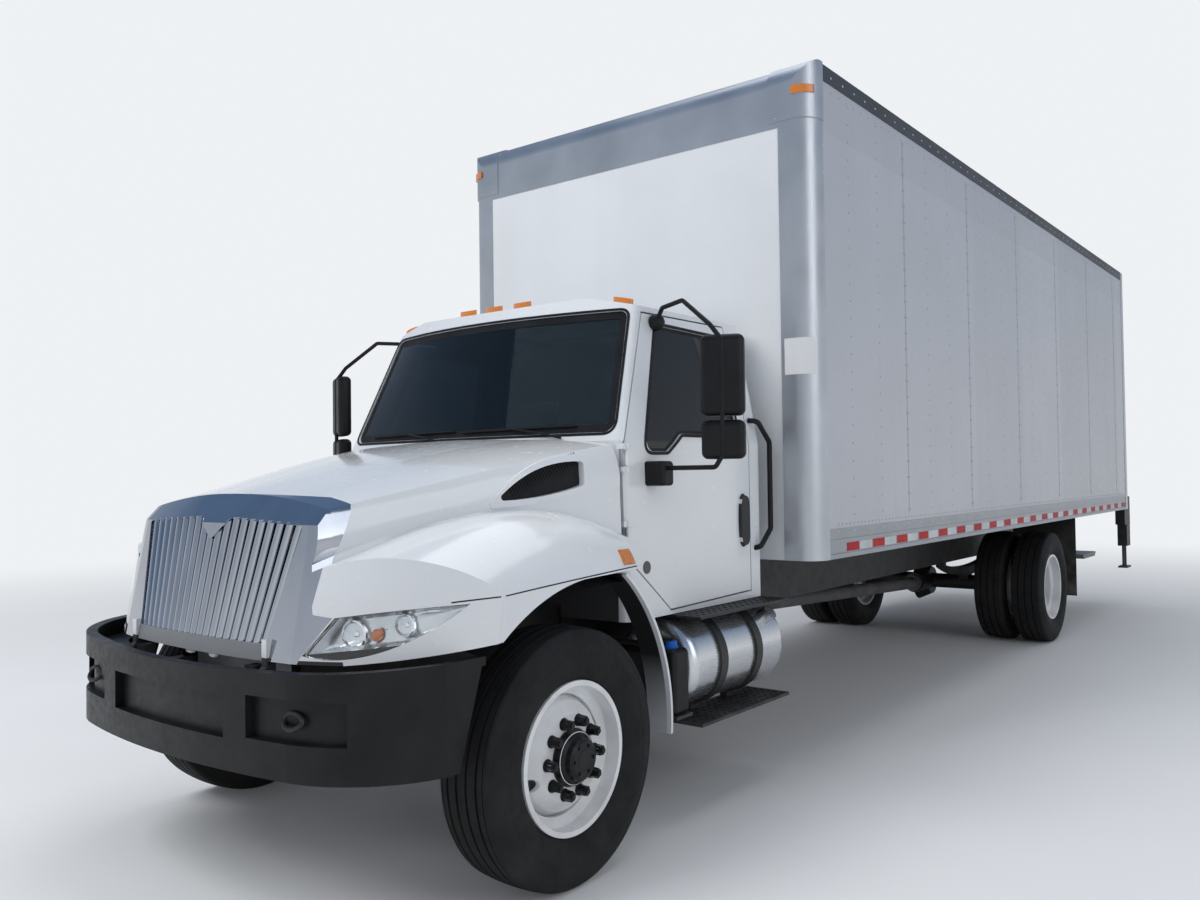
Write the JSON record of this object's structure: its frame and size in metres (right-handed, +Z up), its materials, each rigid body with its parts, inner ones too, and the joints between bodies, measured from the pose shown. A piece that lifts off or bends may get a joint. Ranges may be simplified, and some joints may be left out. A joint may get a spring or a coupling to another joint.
{
  "type": "box truck",
  "caption": "Conventional-cab box truck with tilting hood, opening doors, steered and spinning wheels, curtain rear door and folding liftgate.",
  "frame": {"origin": "centre of the bounding box on the ground", "axes": "+X to the truck's left side, +Y to its rear, +Z up; the nose points to -Y"},
  "size_m": [2.9248, 11.15, 3.856],
  "materials": {
    "white_paint": "gloss white cab paint",
    "body_white": "white sheet of the load box",
    "body_aluminium": "brushed aluminium extrusions",
    "tank_aluminium": "bare aluminium tank",
    "chrome": "bright chrome",
    "chassis_black": "black chassis paint",
    "black_plastic": "grained black moulding",
    "grey_plastic": "grey moulding",
    "wheel_white": "white wheel paint",
    "tyre": "tyre rubber",
    "rubber": "black rubber sheet",
    "glass": "tinted glass",
    "lens": "clear lamp cover",
    "amber": "amber and red lamp plastic",
    "cast_grey": "grey castings and heavy masses",
    "interior": "dark cab trim",
    "seat_cloth": "dark seat cloth",
    "floor_wood": "laminated hardwood floor",
    "step_metal": "steel steps, brackets and pipes"
  },
  "bodies": {
    "truck": {"frame_rails": "chassis_black", "crossmembers": "chassis_black", "front_bumper": "black_plastic", "engine": "cast_grey", "radiator": "body_aluminium", "driveline": "cast_grey", "front_axle": "chassis_black", "rear_axle": "chassis_black", "leaf_springs": "chassis_black", "box_sills": "chassis_black", "box_floor": "floor_wood", "box_front_wall": "body_white", "box_wall_left": "body_white", "box_wall_right": "body_white", "box_roof": "body_aluminium", "front_corner_frame": "body_aluminium", "bottom_rails": "body_aluminium", "rear_frame": "body_aluminium", "roll_up_door": "body_white", "cab_floor": "white_paint", "cab_back": "white_paint", "cab_top": "white_paint", "cab_cowl": "white_paint", "windscreen": "glass", "grab_handles": "black_plastic", "dashboard": "interior", "steering_wheel": "interior", "seats": "seat_cloth", "fuel_tank": "tank_aluminium", "tank_brackets": "step_metal", "small_tank": "black_plastic", "battery_box": "black_plastic", "exhaust": "step_metal", "splash_guards": "grey_plastic", "mud_flaps": "rubber", "lamps": "amber", "liftgate_frame": "chassis_black"},
    "hood": {"hood": "white_paint", "grille": "chrome", "headlamps": "lens"},
    "door_left": {"door_left": "white_paint", "door_glass_left": "glass", "mirror_left": "black_plastic"},
    "door_right": {"door_right": "white_paint", "door_glass_right": "glass", "mirror_right": "black_plastic"},
    "knuckle_left": {"knuckle_left": "cast_grey"},
    "knuckle_right": {"knuckle_right": "cast_grey"},
    "wheel_front_left": {"wheel_front_left": "wheel_white", "tyre_front_left": "tyre"},
    "wheel_front_right": {"wheel_front_right": "wheel_white", "tyre_front_right": "tyre"},
    "wheels_rear_left": {"wheels_rear_left": "wheel_white", "tyres_rear_left": "tyre"},
    "wheels_rear_right": {"wheels_rear_right": "wheel_white", "tyres_rear_right": "tyre"},
    "liftgate_arms": {"liftgate_arms": "chassis_black"},
    "liftgate_platform": {"liftgate_platform": "step_metal"}
  },
  "joints": [
    {"name": "hood_tilt", "type": "hinge", "parent": "truck", "child": "hood", "pos_m": [0, -5.425, 0.9], "axis": [1, 0, 0], "range_deg": [0, 55]},
    {"name": "door_left_hinge", "type": "hinge", "parent": "truck", "child": "door_left", "pos_m": [1.004, -3.929, 1.5], "axis": [0, 0, -1], "range_deg": [0, 70]},
    {"name": "door_right_hinge", "type": "hinge", "parent": "truck", "child": "door_right", "pos_m": [-1.004, -3.929, 1.5], "axis": [0, 0, 1], "range_deg": [0, 70]},
    {"name": "steer_left", "type": "hinge", "parent": "truck", "child": "knuckle_left", "pos_m": [0.9, -4.525, 0.505], "axis": [0, 0, 1], "range_deg": [-35, 35]},
    {"name": "steer_right", "type": "hinge", "parent": "truck", "child": "knuckle_right", "pos_m": [-0.9, -4.525, 0.505], "axis": [0, 0, 1], "range_deg": [-35, 35]},
    {"name": "spin_front_left", "type": "hinge", "parent": "knuckle_left", "child": "wheel_front_left", "pos_m": [1.065, -4.525, 0.505], "axis": [1, 0, 0], "continuous": true},
    {"name": "spin_front_right", "type": "hinge", "parent": "knuckle_right", "child": "wheel_front_right", "pos_m": [-1.065, -4.525, 0.505], "axis": [1, 0, 0], "continuous": true},
    {"name": "spin_rear_left", "type": "hinge", "parent": "truck", "child": "wheels_rear_left", "pos_m": [0.915, 2.385, 0.505], "axis": [1, 0, 0], "continuous": true},
    {"name": "spin_rear_right", "type": "hinge", "parent": "truck", "child": "wheels_rear_right", "pos_m": [-0.915, 2.385, 0.505], "axis": [1, 0, 0], "continuous": true},
    {"name": "liftgate_lower", "type": "hinge", "parent": "truck", "child": "liftgate_arms", "pos_m": [0, 4.67, 0.7], "axis": [-1, 0, 0], "range_deg": [0, 48]},
    {"name": "platform_unfold", "type": "hinge", "parent": "liftgate_arms", "child": "liftgate_platform", "pos_m": [0, 5.515, 0.655], "axis": [1, 0, 0], "range_deg": [0, 228]}
  ],
  "couplings": [
    {"joint": "steer_right", "follows": "steer_left", "ratio": 1}
  ]
}
